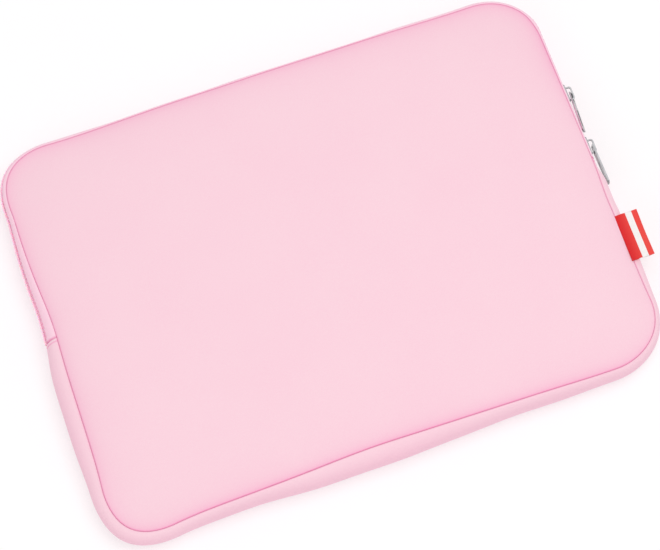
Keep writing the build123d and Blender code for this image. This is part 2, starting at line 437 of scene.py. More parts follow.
class Look:
    """A node material built step by step round one Principled shader."""

    def __init__(self, name, roughness=0.8, metallic=0.0, sheen=0.0, specular=0.5):
        self.material = bpy.data.materials.new(name)
        self.material.use_nodes = True
        self.tree = self.material.node_tree
        self.shader = self.tree.nodes["Principled BSDF"]
        self.shader.inputs["Roughness"].default_value = roughness
        self.shader.inputs["Metallic"].default_value = metallic
        self.shader.inputs["Sheen Weight"].default_value = sheen
        self.shader.inputs["Specular IOR Level"].default_value = specular
        coordinates = self.node("ShaderNodeTexCoord").outputs["Object"]
        scale = self.node("ShaderNodeVectorMath", operation="SCALE")
        self.link(coordinates, scale.inputs[0])
        scale.inputs["Scale"].default_value = 1 / MM
        self.place = scale.outputs[0]

    def node(self, kind, **settings):
        made = self.tree.nodes.new(kind)
        for key, value in settings.items():
            setattr(made, key, value)
        return made

    def link(self, source, target):
        if isinstance(source, (int, float)):
            target.default_value = source
        elif isinstance(source, tuple):
            target.default_value = source
        else:
            self.tree.links.new(source, target)

    def math(self, operation, a, b=0.0, clamp=False):
        made = self.node("ShaderNodeMath", operation=operation, use_clamp=clamp)
        self.link(a, made.inputs[0])
        self.link(b, made.inputs[1])
        return made.outputs[0]

    def noise(self, size, detail=3.0, roughness=0.5):
        """Noise with features about size millimetres across."""
        made = self.node("ShaderNodeTexNoise")
        self.link(self.place, made.inputs["Vector"])
        made.inputs["Scale"].default_value = 1 / size
        made.inputs["Detail"].default_value = detail
        made.inputs["Roughness"].default_value = roughness
        return made.outputs["Fac"]

    def ridges(self, direction, pitch, distortion=0.0):
        """Parallel ridges, pitch millimetres apart, across a direction."""
        made = self.node("ShaderNodeVectorMath", operation="DOT_PRODUCT")
        self.link(self.place, made.inputs[0])
        made.inputs[1].default_value = direction
        along = made.outputs["Value"]
        if distortion:
            along = self.math("ADD", along, self.math("MULTIPLY", self.noise(pitch * 6), distortion))
        phase = self.math("MULTIPLY", along, 2 * np.pi / pitch)
        return self.math("MULTIPLY_ADD", self.math("SINE", phase), 0.5)

    def mix(self, factor, first, second):
        made = self.node("ShaderNodeMix", data_type="RGBA")
        self.link(factor, made.inputs[0])
        self.link(first, made.inputs[6])
        self.link(second, made.inputs[7])
        return made.outputs[2]

    def spread(self, value, low, high, to_low=0.0, to_high=1.0):
        """Maps a range of values to another, clamped."""
        made = self.node("ShaderNodeMapRange")
        self.link(value, made.inputs["Value"])
        made.inputs["From Min"].default_value = low
        made.inputs["From Max"].default_value = high
        made.inputs["To Min"].default_value = to_low
        made.inputs["To Max"].default_value = to_high
        return made.outputs["Result"]

    def attribute(self, name):
        return self.node("ShaderNodeAttribute", attribute_name=name).outputs["Fac"]

    def colour(self, source):
        self.link(source, self.shader.inputs["Base Color"])

    def painted_glow(self, colour, strength):
        """Painted light: an even emission that lifts a part out of its shade, as thin nylon lit from behind would
        look.
        """
        self.shader.inputs["Emission Color"].default_value = colour
        self.shader.inputs["Emission Strength"].default_value = strength

    def bump(self, height, depth):
        """Bump from a 0 to 1 height, depth millimetres deep."""
        made = self.node("ShaderNodeBump")
        made.inputs["Distance"].default_value = depth * MM
        self.link(height, made.inputs["Height"])
        self.link(made.outputs["Normal"], self.shader.inputs["Normal"])

    def vary_roughness(self, value, low, high):
        self.link(self.spread(value, 0.3, 0.7, low, high), self.shader.inputs["Roughness"])


def jersey(name, face, deep):
    """Smooth warp-knit jersey over foam: fine wales and courses, a faint mottle, and painted shade as deeper colour in
    the seams and wherever the mesh marks it.
    """
    look = Look(name, roughness=0.86, sheen=0.25)
    look.shader.inputs["Sheen Roughness"].default_value = 0.6
    wales = look.ridges((1.0, 0.0, 0.35), 0.62, distortion=0.12)
    courses = look.ridges((0.0, 1.0, 0.35), 0.48, distortion=0.1)
    knit = look.math("MULTIPLY", wales, courses)
    grain = look.noise(0.9, detail=4.0, roughness=0.65)
    mottle = look.noise(38.0, detail=2.0)
    tint = look.math("ADD", look.spread(mottle, 0.3, 0.7, 0.0, 0.03), look.spread(grain, 0.25, 0.75, 0.0, 0.09))
    tint = look.math("ADD", tint, look.math("MULTIPLY", knit, -0.05))
    # Painted shade from the mesh: seam grooves, slopes beside them and band faces turned from the light.
    tint = look.math("ADD", tint, look.attribute("painted_shade"), clamp=True)
    look.colour(look.mix(tint, face, deep))
    height = look.math("ADD", look.math("MULTIPLY", knit, 0.5), look.math("MULTIPLY", grain, 0.7))
    look.bump(height, 0.07)
    look.vary_roughness(grain, 0.8, 0.95)
    return look.material


def brushed_knit(name, face, deep):
    """Soft brushed lining: short nap with a loose knit under it."""
    look = Look(name, roughness=0.95, sheen=0.5)
    nap = look.noise(0.7, detail=6.0, roughness=0.7)
    swirl = look.noise(9.0, detail=3.0)
    rows = look.ridges((0.4, 1.0, 0.2), 1.1, distortion=0.3)
    tint = look.math("ADD", look.math("MULTIPLY", nap, 0.55), look.math("MULTIPLY", swirl, 0.35))
    look.colour(look.mix(tint, face, deep))
    look.bump(look.math("ADD", nap, look.math("MULTIPLY", rows, 0.4)), 0.18)
    return look.material


def woven_band(name, face, deep, pitch, sheen=0.15, painted_glow=0.0):
    """Narrow woven tape: warp ribs along it and fine picks across it."""
    look = Look(name, roughness=0.75, sheen=sheen, specular=0.1)
    ribs = look.ridges((0.0, 0.0, 1.0), pitch, distortion=0.08)
    picks = look.ridges((0.71, 0.71, 0.0), pitch * 0.8, distortion=0.1)
    weave = look.math("MULTIPLY", ribs, picks)
    fuzz = look.noise(0.6, detail=3.0)
    look.colour(look.mix(look.math("MULTIPLY_ADD", weave, 0.6), face, deep))
    look.bump(look.math("ADD", weave, look.math("MULTIPLY", fuzz, 0.3)), 0.12)
    look.vary_roughness(fuzz, 0.65, 0.85)
    # Painted light, when set: an emission that lightens the tape in its shade.
    look.painted_glow(face, painted_glow)
    return look.material


def nylon(name, face, deep):
    """Glossy drawn nylon, slightly uneven along its length."""
    look = Look(name, roughness=0.45, specular=0.3)
    look.shader.inputs["Subsurface Weight"].default_value = 0.35
    look.shader.inputs["Subsurface Scale"].default_value = 1.2 * MM
    uneven = look.noise(2.5, detail=2.0)
    look.colour(look.mix(look.spread(uneven, 0.3, 0.7), face, deep))
    look.bump(look.noise(0.4), 0.02)
    look.vary_roughness(uneven, 0.38, 0.55)
    # Painted light: an emission that lightens the coil where it lies in shade.
    look.painted_glow(srgb(255, 205, 224), 0.13)
    return look.material


def twisted_thread(name, face, deep, painted_glow=0.0):
    """Two-ply sewing thread with its twist as slanting ridges."""
    look = Look(name, roughness=0.6, sheen=0.2, specular=0.2)
    twist = look.ridges((0.6, 0.6, 0.6), 0.35)
    look.colour(look.mix(twist, face, deep))
    look.bump(twist, 0.05)
    look.vary_roughness(look.noise(0.5), 0.5, 0.7)
    # Painted light, when set: an emission that lightens the thread in its shade.
    look.painted_glow(face, painted_glow)
    return look.material


# Painted reflection on the plated parts: brightness of the room they seem to mirror, from straight down to straight
# up.
PAINTED_ROOM_REFLECTION = ((0.0, 0.24), (0.35, 0.3), (0.5, 0.9), (0.62, 0.26), (0.8, 0.5), (0.95, 1.0))


def plated_metal(name):
    """Bright nickel plate: smooth, with fine rubbing marks and a duller bloom in places.

    Its colour carries a painted reflection of a room with dark walls and a bright ceiling, so that its form shows.
    """
    look = Look(name, roughness=0.16, metallic=1.0)
    seen = look.node("ShaderNodeSeparateXYZ")
    look.link(look.node("ShaderNodeTexCoord").outputs["Reflection"], seen.inputs[0])
    ramp = look.node("ShaderNodeValToRGB")
    look.link(look.spread(seen.outputs["Z"], -1.0, 1.0), ramp.inputs["Fac"])
    ramp.color_ramp.elements[0].position = PAINTED_ROOM_REFLECTION[0][0]
    ramp.color_ramp.elements[1].position = PAINTED_ROOM_REFLECTION[-1][0]
    for place, level in PAINTED_ROOM_REFLECTION[1:-1]:
        ramp.color_ramp.elements.new(place)
    for element, (place, level) in zip(ramp.color_ramp.elements, PAINTED_ROOM_REFLECTION):
        element.color = (level, level, level, 1)
    bloom = look.noise(4.0, detail=4.0)
    rub = look.noise(0.35, detail=2.0)
    plate = look.mix(look.spread(bloom, 0.35, 0.65), srgb(250, 250, 252), srgb(222, 224, 228))
    # Painted reflection: the plate colour times the made-up room's brightness along the reflected ray.
    room = look.node("ShaderNodeMix", data_type="RGBA", blend_type="MULTIPLY")
    look.link(1.0, room.inputs[0])
    look.link(plate, room.inputs[6])
    look.link(ramp.outputs["Color"], room.inputs[7])
    look.colour(room.outputs[2])
    look.bump(look.math("ADD", rub, look.math("MULTIPLY", bloom, 2.0)), 0.0012)
    look.vary_roughness(bloom, 0.1, 0.2)
    return look.material


def ribbon(name, face, deep, stripe):
    """Satin ribbon, deeper near the seam, with fine picks across it and a plain pale stripe along it."""
    look = Look(name, roughness=0.5, sheen=0.2)
    picks = look.ridges((0.0, 1.0, 0.0), 0.38, distortion=0.05)
    warps = look.ridges((1.0, 0.0, 0.3), 0.5, distortion=0.08)
    weave = look.math("MULTIPLY", picks, warps)
    cloth = look.mix(look.math("MULTIPLY", weave, 0.3), face, deep)
    cloth = look.mix(look.spread(look.attribute("reach"), 0.0, 0.55, 0.95, 0.0), cloth, deep)
    band = look.attribute("stripe")
    thread = look.mix(look.math("MULTIPLY", weave, 0.25), stripe, srgb(225, 200, 200))
    look.colour(look.mix(look.spread(band, 0.45, 0.55), cloth, thread))
    look.bump(look.math("ADD", weave, look.math("MULTIPLY", band, 0.6)), 0.09)
    look.vary_roughness(look.noise(1.0), 0.42, 0.6)
    return look.material


JERSEY = jersey("pink_jersey", srgb(250, 214, 224), srgb(243, 130, 186))
ZIP_JERSEY = jersey("zip_band_jersey", srgb(254, 219, 232), srgb(246, 134, 186))
LINING = brushed_knit("brushed_lining", srgb(246, 188, 204), srgb(226, 148, 172))
BINDING = woven_band("bias_binding", srgb(244, 176, 197), srgb(222, 130, 162), 0.7)
# The zip tape and the coil cord carry painted light: an emission that lightens them in their shade.
TAPE = woven_band("zip_tape_weave", srgb(255, 208, 228), srgb(252, 182, 211), 0.55, sheen=0.0, painted_glow=0.12)
COIL = nylon("coil_nylon", srgb(255, 228, 239), srgb(255, 214, 230))
CORD = twisted_thread("coil_cord", srgb(255, 220, 235), srgb(254, 200, 222), painted_glow=0.12)
THREAD = twisted_thread("pink_thread", srgb(252, 178, 206), srgb(246, 150, 188))
METAL = plated_metal("nickel_plate")
RIBBON = ribbon("red_ribbon", srgb(244, 70, 62), srgb(222, 4, 16), srgb(253, 250, 248))


# ---------------------------------------------------------------- panels and linings

RINGS = np.array([0.03, 0.12, 0.3, 0.6, 1.0, 1.5, 2.1, 2.9, 4.0, 5.5, 7.5, 10.0, 13.0, 16.5, 20.5, 25.0, 29.5, CORNER])
CELLS_X = 108
CELLS_Y = 72
CELLS_CORNER = 22


def panel_stations():
    """Stations round the outline that line up with a square grid inside it."""
    places = []

    def straight(count, start, step, normal, cell, cell_step):
        for k in range(count):
            t = k / count
            places.append((start[0] + step[0] * t, start[1] + step[1] * t, *normal,
                           cell[0] + cell_step[0] * k, cell[1] + cell_step[1] * k))

    def corner(cx, cy, start, cell):
        for k in range(CELLS_CORNER):
            angle = np.radians(start - 90 * k / CELLS_CORNER)
            nx, ny = np.cos(angle), np.sin(angle)
            places.append((cx + CORNER * nx, cy + CORNER * ny, nx, ny, *cell))

    straight(CELLS_Y, (-HALF_X, -RUN_Y), (0, 2 * RUN_Y), (-1, 0), (0, 0), (0, 1))
    corner(-RUN_X, RUN_Y, 180, (0, CELLS_Y))
    straight(CELLS_X, (-RUN_X, HALF_Y), (2 * RUN_X, 0), (0, 1), (0, CELLS_Y), (1, 0))
    corner(RUN_X, RUN_Y, 90, (CELLS_X, CELLS_Y))
    straight(CELLS_Y, (HALF_X, RUN_Y), (0, -2 * RUN_Y), (1, 0), (CELLS_X, CELLS_Y), (0, -1))
    corner(RUN_X, -RUN_Y, 0, (CELLS_X, 0))
    straight(CELLS_X, (RUN_X, -HALF_Y), (-2 * RUN_X, 0), (0, -1), (CELLS_X, 0), (-1, 0))
    corner(-RUN_X, -RUN_Y, -90, (0, 0))
    return np.array(places)


STATIONS = panel_stations()


def sheet(rings, ring_height, inner_height):
    """One skin over the outline: rings inward from the seam, then a square grid."""
    count = len(STATIONS)
    vertices = []
    distance = []
    for d in rings[:-1]:
        x = STATIONS[:, 0] - STATIONS[:, 2] * d
        y = STATIONS[:, 1] - STATIONS[:, 3] * d
        vertices.append(np.stack([x, y, ring_height(STATIONS[:, 0], STATIONS[:, 1], x, y, d)], axis=-1))
        distance.append(np.full(count, d))
    grid_x, grid_y = np.meshgrid(
        np.linspace(-RUN_X, RUN_X, CELLS_X + 1), np.linspace(-RUN_Y, RUN_Y, CELLS_Y + 1), indexing="ij"
    )
    grid = np.stack([grid_x, grid_y, inner_height(grid_x, grid_y)], axis=-1).reshape(-1, 3)
    vertices.append(grid)
    distance.append(np.full(len(grid), CORNER))
    first_grid = count * (len(rings) - 1)

    def index(ring, k):
        if ring < len(rings) - 1:
            return ring * count + k % count
        cell = STATIONS[k % count, 4:].astype(int)
        return first_grid + cell[0] * (CELLS_Y + 1) + cell[1]

    faces = []
    for ring in range(len(rings) - 1):
        for k in range(count):
            corners = (index(ring, k), index(ring, k + 1), index(ring + 1, k + 1), index(ring + 1, k))
            faces.append(tuple(dict.fromkeys(reversed(corners))))
    for i in range(CELLS_X):
        for j in range(CELLS_Y):
            a = first_grid + i * (CELLS_Y + 1) + j
            faces.append((a, a + CELLS_Y + 1, a + CELLS_Y + 2, a + 1))
    return np.concatenate(vertices), faces, np.concatenate(distance)


def closed_panel(outer, inner):
    """Joins an outer and an inner skin, which share their layout, along their first ring."""
    outer_vertices, faces, distance = outer
    inner_vertices = inner[0]
    offset = len(outer_vertices)
    count = len(STATIONS)
    faces = list(faces)
    faces += [tuple(v + offset for v in reversed(face)) for face in inner[1]]
    faces += [(k, (k + 1) % count, (k + 1) % count + offset, k + offset) for k in range(count)]
    vertices = np.concatenate([outer_vertices, inner_vertices])
    return vertices, faces, np.concatenate([distance, distance])


def painted_groove_shade(distance):
    """Painted shade: deeper colour in the groove of a seam, where shade falls."""
    return 0.34 * np.exp(-((distance / 0.6) ** 2))


def painted_border_shade(distance, x, y):
    """Painted shade: deeper colour in a panel's seam and on the slope beside it, where the surface turns from the
    light: most in front and behind, least on the right.
    """
    right = np.clip(x / HALF_X, 0, 1) ** 8
    front = np.clip(-y / HALF_Y, 0, 1) ** 8
    behind = np.clip(y / HALF_Y, 0, 1) ** 8
    far_right = right * np.clip((y - 20.0) / 50.0, 0, 1)
    slope = (0.24 + 0.14 * front) * np.exp(-distance / 3.2) + 0.07 * np.exp(-distance / 14.0)
    slope = slope * (1 - 0.7 * (right - far_right))
    slope = slope + (0.06 * behind + 0.12 * far_right) * np.exp(-distance / 10.0)
    return painted_groove_shade(distance) + slope


def front_height(sx, sy, x, y, d, drop=0.0):
    seam = front_seam_z(sx, sy)
    reach = 9.0 + 9.0 * cornerness(sx, sy)
    return seam + (top_z(x, y) - seam) * rise(d, reach) - drop


def back_height(sx, sy, x, y, d, lift=0.0):
    seam = back_seam_z(sx, sy)
    reach = 6.0 + 7.0 * cornerness(sx, sy)
    return seam * (1 - rise(d, reach)) + lift


def build_front_panel():
    outer = sheet(
        RINGS,
        lambda sx, sy, x, y, d: front_height(sx, sy, x, y, d) - roll(d, PANEL_ROLL),
        top_z,
    )
    inner = sheet(
        RINGS,
        lambda sx, sy, x, y, d: front_height(sx, sy, x, y, d, PANEL_THICKNESS),
        lambda x, y: top_z(x, y) - PANEL_THICKNESS,
    )
    vertices, faces, distance = closed_panel(outer, inner)
    make_piece("front_panel_cloth", vertices, faces, JERSEY, "neoprene", fold=True,
               hides=("front_panel_lower", "front_panel_upper"), depth=painted_border_shade(distance, vertices[:, 0], vertices[:, 1]))


def build_back_panel():
    outer = sheet(
        RINGS,
        lambda sx, sy, x, y, d: back_height(sx, sy, x, y, d) + roll(d, PANEL_ROLL),
        lambda x, y: 0 * x,
    )
    inner = sheet(
        RINGS,
        lambda sx, sy, x, y, d: back_height(sx, sy, x, y, d, PANEL_THICKNESS),
        lambda x, y: 0 * x + PANEL_THICKNESS,
    )
    vertices, faces, distance = closed_panel(outer, inner)
    make_piece("back_panel_cloth", vertices, faces, JERSEY, "neoprene",
               hides=("back_panel",), depth=painted_border_shade(distance, vertices[:, 0], vertices[:, 1]))


LINING_RINGS = np.array([5.9, 6.1, 6.6, 7.6, 9.0, 11.0, 14.0, 18.0, 23.0, 28.5, CORNER])


def build_linings():
    def front(drop):
        return sheet(
            LINING_RINGS,
            lambda sx, sy, x, y, d: front_height(sx, sy, x, y, d, drop),
            lambda x, y: top_z(x, y) - drop,
        )

    def back(lift):
        return sheet(
            LINING_RINGS,
            lambda sx, sy, x, y, d: back_height(sx, sy, x, y, d, lift),
            lambda x, y: 0 * x + lift,
        )

    vertices, faces, _ = closed_panel(front(PANEL_THICKNESS + 0.05), front(PANEL_THICKNESS + 1.05))
    make_piece("front_lining_knit", vertices, faces, LINING, "lining", fold=True,
               hides=("front_lining_lower", "front_lining_upper"))
    vertices, faces, _ = closed_panel(back(PANEL_THICKNESS + 0.05), back(PANEL_THICKNESS + 1.05))
    make_piece("back_lining_knit", vertices, faces, LINING, "lining", hides=("back_lining",))


def build_bindings():
    """Bias tape rolled over the raw edges, inside both seams."""
    stations = np.arange(0, LOOP, LOOP / 560)
    turn = np.linspace(0, 2 * np.pi, 14, endpoint=False)

    def section(seam, side):
        def make(x, y, s):
            wobble = 0.12 * np.sin(s / 4.1) + 0.08 * np.sin(s / 1.7)
            width = 2.1 + wobble[:, None] * 0.5
            height = 1.7 + wobble[:, None] * 0.4
            outward = -3.7 + width * np.sign(np.cos(turn)) * np.abs(np.cos(turn)) ** 0.7
            level = seam(x, y)[:, None] - side * (PANEL_THICKNESS + 2.05)
            return outward, level + height * np.sign(np.sin(turn)) * np.abs(np.sin(turn)) ** 0.8
        return make

    vertices, faces = sweep(stations, section(front_seam_z, 1), closed=True)
    make_piece("front_binding_tape", vertices, faces, BINDING, "binding", fold=True,
               hides=("front_seam_binding_lower", "front_seam_binding_upper"))
    vertices, faces = sweep(stations, section(back_seam_z, -1), closed=True)
    make_piece("back_binding_tape", vertices, faces, BINDING, "binding", hides=("back_seam_binding",))


# ---------------------------------------------------------------- side band

# How far the band stands out from the seam, and where it swells beyond that: (x, y, reach along the band, extra).
# Along the sliders' run it is as high as puts the zip's tape where the frame has it, less the gap at the seam.
BAND_BULGE = 4.0
SEAM_GAP = 0.05
RUN_BULGE = box_mm("back_zip_tape")[1][0] - HALF_X + TAPE_DEPTH - SEAM_GAP
SWELLS = (
    (-HALF_X, -40.0, 75.0, 7.0),
    (-10.0, -HALF_Y, 60.0, 7.0),
    (HALF_X, -35.0, 35.0, 2.0),
    (0.0, HALF_Y, 150.0, -1.0),
)


def bulge_table():
    """The band's bulge all round: plump on the left and in front, and as flat as the zip along the sliders' run."""
    x, y = ARC_POINTS.T
    value = np.full(len(ARC), BAND_BULGE)
    for centre_x, centre_y, reach, extra in SWELLS:
        centre = ARC[np.argmin((x - centre_x) ** 2 + (y - centre_y) ** 2)]
        away = (ARC - centre + LOOP / 2) % LOOP - LOOP / 2
        value = value + extra * np.exp(-((away / reach) ** 2))
    run = np.clip((y + 9.0) / 10.0, 0, 1) * np.clip((RUN_Y + 13.0 - y) / 12.0, 0, 1) * (x > 0.8 * HALF_X)
    held = run**2 * (3 - 2 * run)
    return value * (1 - held) + RUN_BULGE * held


BULGE_TABLE = bulge_table()


def bulge(x, y, s):
    """How far the side band stands out from the seam, with soft unevenness along it."""
    wave = 0.3 * np.sin(s / 19.0 + 0.4) + 0.2 * np.sin(s / 8.3 + 1.9)
    return np.interp(s, ARC, BULGE_TABLE, period=LOOP) + wave * unevenness(x, y)


def unevenness(x, y):
    """Full waviness on the plain band and the top edge, little on the zip's left side, none beside the sliders."""
    beside_sliders = (x > 0) * np.clip((66.0 - np.abs(y - 40.0)) / 12.0, 0, 1)
    left_zip = (x < 0) * np.clip((60.0 - np.abs(y - 50.0)) / 12.0, 0, 1)
    return 1 - beside_sliders - 0.7 * left_zip


def coil_proud(x, y):
    """How far the zip's tape and coil are pushed out, none along the sliders' run."""
    return COIL_PROUD * (1 - np.clip((x / HALF_X - 0.45) / 0.3, 0, 1))


def band_curve(angle, inset, edge_roll):
    """Section of the band's outer or inner face, from the front seam at +90 degrees to the back seam at -90."""
    def make(x, y, s):
        front = front_seam_z(x, y)[:, None]
        back = back_seam_z(x, y)[:, None]
        middle = (front + back) / 2
        half = (front - back) / 2 - inset
        out = (bulge(x, y, s)[:, None] - inset) * np.cos(angle)
        level = np.sin(angle) * half
        return out + 0.03, middle + level - np.sign(level) * roll(out, edge_roll) * (inset == 0)
    return make


def end_round(s, start, stop, radius):
    """0 at the ends of a run of fabric and 1 beyond a rounded fold of that radius."""
    near = np.clip(np.minimum(s - start, stop - s) / radius, 0, 1)
    return np.sqrt(1 - (1 - near) ** 2)


def hem_dip(distance):
    """Stitched groove across the band, behind the folded edge where it meets the zip."""
    return HEM_GROOVE * np.exp(-(((distance - HEM_WIDTH) / 0.4) ** 2))


def build_gusset():
    start = ZIP_LENGTH + 0.1
    stop = LOOP - 0.1
    fold = 0.8
    ease = np.concatenate([np.array([0, 0.04, 0.15, 0.35, 0.65, 1.0]) * fold, np.arange(1.1, 3.6, 0.22)])
    stations = np.concatenate([start + ease, np.arange(start + 5.0, stop - 4.5, 1.6), stop - ease[::-1]])
    outer = np.radians([90, 88.5, 86, 82, 77, 71, 64, 56, 47, 37, 26, 15, 5, -5, -15, -26, -37, -47, -56, -64,
                        -71, -77, -82, -86, -88.5, -90])
    inner = np.radians([-90, -78, -64, -50, -35, -18, 0, 18, 35, 50, 64, 78, 90])

    def section(x, y, s):
        out, high = band_curve(outer, 0.0, GUSSET_ROLL)(x, y, s)
        out_in, high_in = band_curve(inner, GUSSET_THICKNESS, GUSSET_ROLL)(x, y, s)
        fullness = end_round(s, start, stop, fold)[:, None]
        dip = hem_dip(np.minimum(s - start, stop - s))[:, None] * np.cos(outer) ** 0.5
        target = np.clip(out - 0.9, 0.02, None)
        out = np.clip(target + (out - target) * fullness - dip, 0.02, None)
        return np.concatenate([out, out_in], axis=1), np.concatenate([high, high_in], axis=1)

    vertices, faces = sweep(stations, section)
    point = rim(stations)[0]
    # Painted shade: deeper colour in the seam groove, across the band's middle where it faces sideways away from the
    # light, at its folded ends and in the hem groove.
    tint = np.zeros((len(stations), len(outer) + len(inner)))
    tint[:, :len(outer)] = painted_groove_shade(bulge(point[:, 0], point[:, 1], stations)[:, None] * np.cos(outer))
    tint[:, :len(outer)] += 0.24 * np.cos(outer) ** 2
    from_end = np.minimum(stations - start, stop - stations)[:, None]
    tint += 0.45 * (1 - end_round(stations, start, stop, fold)[:, None]) + 0.5 * hem_dip(from_end) / HEM_GROOVE
    make_piece("side_band_cloth", vertices, faces, JERSEY, "neoprene", hides=("bottom_gusset",),
               depth=np.clip(tint, 0, 1).ravel())


def strip_angle(x, y, s):
    """Angle at which a zip strip ends, a fixed distance from the zip's middle."""
    half = (front_seam_z(x, y) - back_seam_z(x, y)) / 2
    return np.arcsin(np.clip(STRIP_EDGE_Z / half, 0, 0.9))


STRIP_SHARE = np.array([0, 0.015, 0.04, 0.08, 0.13, 0.2, 0.3, 0.42, 0.55, 0.67, 0.77, 0.85, 0.9, 0.94, 0.97, 0.99, 1])


def strip_section(side):
    """Folded fabric beside the zip: outer face, rounded free edge, inner face."""
    def make(x, y, s):
        end = strip_angle(x, y, s)[:, None]
        front = front_seam_z(x, y)[:, None]
        back = back_seam_z(x, y)[:, None]
        middle = (front + back) / 2
        half = (front - back) / 2
        full = bulge(x, y, s)[:, None]
        angle = np.pi / 2 + (end - np.pi / 2) * STRIP_SHARE
        edge = np.clip((STRIP_SHARE - 0.84) / 0.16, 0, 1)
        dent = 0.32 * np.exp(-(((STRIP_SHARE - 0.86) / 0.05) ** 2))
        out = full * np.cos(angle)
        high = np.sin(angle) * half - roll(out, STRIP_ROLL)
        out = out - dent - 0.9 * (1 - np.sqrt(1 - edge**2))
        angle_in = np.pi / 2 + (end - np.pi / 2) * STRIP_SHARE[::-2]
        out_in = np.clip((full - STRIP_THICKNESS) * np.cos(angle_in), 0.03, None)
        high_in = np.sin(angle_in) * (half - STRIP_THICKNESS * np.sin(angle_in)) + 0.1
        outward = np.concatenate([out, out_in], axis=1)
        return outward + 0.03, middle + side * np.concatenate([high, high_in], axis=1)
    return make


def zip_stations(step):
    """Evenly spaced stations along the zip, from one end to the other."""
    return np.linspace(0.05, ZIP_LENGTH - 0.05, int(ZIP_LENGTH / step))


def build_strips():
    stations = zip_stations(1.6)
    point = rim(stations)[0]
    for label, side, fold, hides in (
        ("front", 1, True, ("front_zip_strip_lower", "front_zip_strip_upper")),
        ("back", -1, False, ("back_zip_strip",)),
    ):
        vertices, faces = sweep(stations, strip_section(side))
        outward = bulge(point[:, 0], point[:, 1], stations)[:, None] * np.cos(np.pi / 2 * (1 - STRIP_SHARE))
        # Painted shade: deeper colour in the seam groove, along the strip's free edge and the dent beside it, growing
        # towards the coil, on the inner face and at the zip's ends.
        tint = painted_groove_shade(outward) + 0.75 * np.exp(-(((STRIP_SHARE - 1.0) / 0.035) ** 2))
        tint = tint + 0.3 * np.exp(-(((STRIP_SHARE - 0.86) / 0.04) ** 2)) + 0.26 * STRIP_SHARE
        tint = np.concatenate([tint, np.full((len(stations), len(STRIP_SHARE[::-2])), 0.3)], axis=1)
        ends = 0.6 * np.exp(-(np.minimum(stations, ZIP_LENGTH - stations) / 0.8) ** 2)
        make_piece(f"{label}_zip_strip_cloth", vertices, faces, ZIP_JERSEY, "neoprene", fold=fold, hides=hides,
                   depth=np.clip(tint + ends[:, None], 0, 1).ravel())


def parted(y, x):
    """1 where the two halves of the zip are apart, between the two sliders, and 0 where they mesh."""
    low = box_mm("lower_slider_body")
    high = box_mm("upper_slider_body")
    start = (low[0][1] + low[1][1]) / 2 - 2.8
    stop = (high[0][1] + high[1][1]) / 2 - 1.0
    return np.clip((y - start) / 2.3, 0, 1) * np.clip((stop - y) / 2.3, 0, 1) * (x > 0)


def gape(y, x):
    """How far each tape stands off the middle where the zip is parted."""
    return 0.75 * parted(y, x)


def build_tapes():
    """Woven tapes under the strips, each with its outer edge towards the seam."""
    stations = zip_stations(2.0)
    across = np.array([0.62, 0.8, 1.3, 2.0, 2.9, 3.8, 4.8, 5.8, 6.8])

    def section(side):
        def make(x, y, s):
            middle = middle_z(x, y)[:, None]
            full = bulge(x, y, s)[:, None]
            half = (front_seam_z(x, y) - back_seam_z(x, y))[:, None] / 2
            level = np.minimum(across, half - 2.4)
            full = full + coil_proud(x, y)[:, None]
            out = (full - TAPE_DEPTH) * np.sqrt(np.clip(1 - (level / (half - 0.5)) ** 2, 0.05, 1))
            outward = np.concatenate([out, out[:, ::-1] - TAPE_THICKNESS], axis=1)
            shift = gape(y, x)[:, None]
            level = np.concatenate([level, level[:, ::-1]], axis=1) + shift
            return outward, middle + side * level
        return make

    for label, side, fold, hides in (
        ("front", 1, True, ("front_zip_tape_lower", "front_zip_tape_upper")),
        ("back", -1, False, ("back_zip_tape",)),
    ):
        vertices, faces = sweep(stations, section(side))
        make_piece(f"{label}_zip_tape_weave", vertices, faces, TAPE, "zip_tape", fold=fold, hides=hides)


def build_coils():
    """Each turn of the nylon coil as its own bent loop, the two halves meshing along the middle."""
    loop_out = np.array([0.3, 0.42, 0.85, 1.2, 1.33, 1.36, 1.3, 1.02, 0.62, 0.36, 0.3])
    loop_across = np.array([1.3, 2.3, 2.55, 2.3, 1.5, 0.55, -0.12, -0.46, -0.4, 0.1, 1.0])
    loop_along = np.array([0.32, 0.26, 0.1, 0.0, 0.0, 0.0, 0.0, 0.06, 0.16, 0.26, 0.32])
    radii = COIL_WIRE * np.array([0.7, 1, 1, 1, 1, 1, 1.12, 1.15, 1.05, 1, 0.7])
    for label, side, fold, hides in (
        ("front", 1, True, ("front_zip_coil_lower", "front_zip_coil_upper")),
        ("back", -1, False, ("back_zip_coil",)),
    ):
        batch = Batch()
        shift = 0.0 if side > 0 else COIL_PITCH / 2
        for s in np.arange(1.2 + shift, ZIP_LENGTH - 1.0, COIL_PITCH):
            along = s + loop_along
            point, normal = rim(along)
            x, y = point[:, 0], point[:, 1]
            out = bulge(x, y, along) + coil_proud(x, y) - TAPE_DEPTH + loop_out
            apart = parted(y, x)
            across = loop_across * (1 - apart) + (PARTED_FROM + (loop_across + 0.46) * PARTED_SHARE) * apart
            level = middle_z(x, y) + side * across
            path = np.stack([x + normal[:, 0] * out, y + normal[:, 1] * out, level], axis=-1)
            tangent = (-normal[5, 1], normal[5, 0], 0.0)
            batch.add(*tube(path, radii, across=tangent))
        batch.piece(f"{label}_coil_turns", COIL, "zip_coil", fold=fold, hides=hides)


